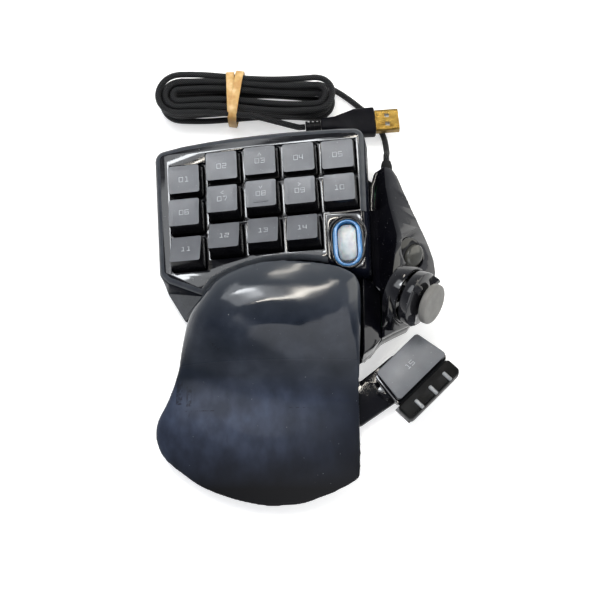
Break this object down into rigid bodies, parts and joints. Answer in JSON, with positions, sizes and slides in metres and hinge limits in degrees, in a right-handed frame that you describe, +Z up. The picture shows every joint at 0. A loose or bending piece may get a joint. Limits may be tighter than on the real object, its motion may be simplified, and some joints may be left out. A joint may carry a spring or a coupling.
{
  "type": "gaming keypad",
  "caption": "One-hand keypad with sloped rows of keys, a scroll wheel, a sliding palm rest, a thumb module with a tilting direction pad and stick, and a coiled cord with plug.",
  "frame": {"origin": "on the desk, below the middle of the keypad's box without its free cord", "axes": "+X to the user's right, +Y away from the user along the palm rest and keys, +Z up"},
  "size_m": [0.1526, 0.229, 0.0481],
  "materials": {
    "gloss_black": "high gloss",
    "matte_charcoal": "soft-touch lacquer",
    "key_grey": "fine matte",
    "smoke_white": "satin, slightly translucent",
    "blue_light": "clear tinted light guide",
    "black_rubber": "matte",
    "dark_plastic": "fine texture",
    "steel": "plain",
    "gold": "gold plated, polished",
    "cord_braid": "woven sleeve over a soft core",
    "tan_rubber": "plain",
    "board_green": "solder mask",
    "dome_rubber": "matte",
    "stick_grey": "fine matte"
  },
  "bodies": {
    "base": {"key_bezel": "gloss_black", "wheel_panel": "gloss_black", "wheel_surround": "gloss_black", "side_cover": "gloss_black", "thumb_wing": "gloss_black", "thumb_base": "gloss_black", "pad_housing": "gloss_black", "status_lens": "gloss_black", "thumb_arm": "gloss_black", "key_15_frame": "gloss_black", "plug_tongue": "smoke_white", "wheel_light_ring": "blue_light", "foot_1": "black_rubber", "foot_2": "black_rubber", "foot_3": "black_rubber", "foot_4": "black_rubber", "thumb_grip": "black_rubber", "strain_relief": "black_rubber", "plug_relief": "black_rubber", "key_case": "dark_plastic", "base_plate": "dark_plastic", "palm_rail": "dark_plastic", "plug_body": "dark_plastic", "case_screw_1": "steel", "case_screw_2": "steel", "case_screw_3": "steel", "plug_shell": "gold", "cord_lead": "cord_braid", "cord_hank": "cord_braid", "cord_tail": "cord_braid", "cord_tie": "tan_rubber", "key_board": "board_green", "thumb_board": "board_green", "dome_sheet": "dome_rubber"},
    "key_01": {"key_01": "key_grey"},
    "key_02": {"key_02": "key_grey"},
    "key_03": {"key_03": "key_grey"},
    "key_04": {"key_04": "key_grey"},
    "key_05": {"key_05": "key_grey"},
    "key_06": {"key_06": "key_grey"},
    "key_07": {"key_07": "key_grey"},
    "key_08": {"key_08": "key_grey"},
    "key_09": {"key_09": "key_grey"},
    "key_10": {"key_10": "key_grey"},
    "key_11": {"key_11": "key_grey"},
    "key_12": {"key_12": "key_grey"},
    "key_13": {"key_13": "key_grey"},
    "key_14": {"key_14": "key_grey"},
    "wheel_click": {"wheel_carrier": "dark_plastic", "wheel_axle": "steel"},
    "scroll_wheel": {"scroll_wheel": "smoke_white"},
    "palm": {"palm_rest": "matte_charcoal", "palm_tray": "dark_plastic", "palm_foot": "black_rubber"},
    "pad_yoke": {"pad_yoke": "steel"},
    "pad": {"thumb_pad": "gloss_black", "thumb_stick": "gloss_black", "stick_cap": "stick_grey"},
    "mode_button": {"mode_button": "key_grey"},
    "key_15": {"key_15": "key_grey"}
  },
  "joints": [
    {"name": "key_01_press", "type": "slide", "parent": "base", "child": "key_01", "axis": [0.1435, 0.0601, -0.9878], "range_m": [0, 0.0032], "stiffness_N_per_m": 180, "springref_m": -0.002, "deforming": ["dome_sheet"]},
    {"name": "key_02_press", "type": "slide", "parent": "base", "child": "key_02", "axis": [0.1435, 0.0601, -0.9878], "range_m": [0, 0.0032], "stiffness_N_per_m": 180, "springref_m": -0.002, "deforming": ["dome_sheet"]},
    {"name": "key_03_press", "type": "slide", "parent": "base", "child": "key_03", "axis": [0.1435, 0.0601, -0.9878], "range_m": [0, 0.0032], "stiffness_N_per_m": 180, "springref_m": -0.002, "deforming": ["dome_sheet"]},
    {"name": "key_04_press", "type": "slide", "parent": "base", "child": "key_04", "axis": [0.1435, 0.0601, -0.9878], "range_m": [0, 0.0032], "stiffness_N_per_m": 180, "springref_m": -0.002, "deforming": ["dome_sheet"]},
    {"name": "key_05_press", "type": "slide", "parent": "base", "child": "key_05", "axis": [0.1435, 0.0601, -0.9878], "range_m": [0, 0.0032], "stiffness_N_per_m": 180, "springref_m": -0.002, "deforming": ["dome_sheet"]},
    {"name": "key_06_press", "type": "slide", "parent": "base", "child": "key_06", "axis": [0.1435, 0.0601, -0.9878], "range_m": [0, 0.0032], "stiffness_N_per_m": 180, "springref_m": -0.002, "deforming": ["dome_sheet"]},
    {"name": "key_07_press", "type": "slide", "parent": "base", "child": "key_07", "axis": [0.1435, 0.0601, -0.9878], "range_m": [0, 0.0032], "stiffness_N_per_m": 180, "springref_m": -0.002, "deforming": ["dome_sheet"]},
    {"name": "key_08_press", "type": "slide", "parent": "base", "child": "key_08", "axis": [0.1435, 0.0601, -0.9878], "range_m": [0, 0.0032], "stiffness_N_per_m": 180, "springref_m": -0.002, "deforming": ["dome_sheet"]},
    {"name": "key_09_press", "type": "slide", "parent": "base", "child": "key_09", "axis": [0.1435, 0.0601, -0.9878], "range_m": [0, 0.0032], "stiffness_N_per_m": 180, "springref_m": -0.002, "deforming": ["dome_sheet"]},
    {"name": "key_10_press", "type": "slide", "parent": "base", "child": "key_10", "axis": [0.1435, 0.0601, -0.9878], "range_m": [0, 0.0032], "stiffness_N_per_m": 180, "springref_m": -0.002, "deforming": ["dome_sheet"]},
    {"name": "key_11_press", "type": "slide", "parent": "base", "child": "key_11", "axis": [0.1435, 0.0601, -0.9878], "range_m": [0, 0.0032], "stiffness_N_per_m": 180, "springref_m": -0.002, "deforming": ["dome_sheet"]},
    {"name": "key_12_press", "type": "slide", "parent": "base", "child": "key_12", "axis": [0.1435, 0.0601, -0.9878], "range_m": [0, 0.0032], "stiffness_N_per_m": 180, "springref_m": -0.002, "deforming": ["dome_sheet"]},
    {"name": "key_13_press", "type": "slide", "parent": "base", "child": "key_13", "axis": [0.1435, 0.0601, -0.9878], "range_m": [0, 0.0032], "stiffness_N_per_m": 180, "springref_m": -0.002, "deforming": ["dome_sheet"]},
    {"name": "key_14_press", "type": "slide", "parent": "base", "child": "key_14", "axis": [0.1435, 0.0601, -0.9878], "range_m": [0, 0.0032], "stiffness_N_per_m": 180, "springref_m": -0.002, "deforming": ["dome_sheet"]},
    {"name": "wheel_click", "type": "slide", "parent": "base", "child": "wheel_click", "axis": [0.1435, 0.0601, -0.9878], "range_m": [0, 0.0006], "stiffness_N_per_m": 900, "springref_m": -0.001},
    {"name": "wheel_spin", "type": "hinge", "parent": "wheel_click", "child": "scroll_wheel", "pos_m": [0.02072, 0.03202, 0.03325], "axis": [0.9884, 0.0414, 0.1461], "continuous": true},
    {"name": "palm_reach", "type": "slide", "parent": "base", "child": "palm", "axis": [0, 1, 0], "range_m": [-0.015, 0]},
    {"name": "pad_tilt_1", "type": "hinge", "parent": "base", "child": "pad_yoke", "pos_m": [0.04818, 0.00895, 0.02873], "axis": [0.3108, -0.1816, -0.933], "range_deg": [-4, 4], "stiffness_Nm_per_rad": 0.3},
    {"name": "pad_tilt_2", "type": "hinge", "parent": "pad_yoke", "child": "pad", "pos_m": [0.04818, 0.00895, 0.02873], "axis": [0.5045, 0.8634, 0], "range_deg": [-4, 4], "stiffness_Nm_per_rad": 0.3},
    {"name": "mode_press", "type": "slide", "parent": "base", "child": "mode_button", "axis": [-0.5064, 0.2693, -0.8192], "range_m": [0, 0.0012], "stiffness_N_per_m": 300, "springref_m": -0.001},
    {"name": "key_15_press", "type": "slide", "parent": "base", "child": "key_15", "axis": [0.0611, -0.0622, -0.9962], "range_m": [0, 0.002], "stiffness_N_per_m": 220, "springref_m": -0.002}
  ]
}
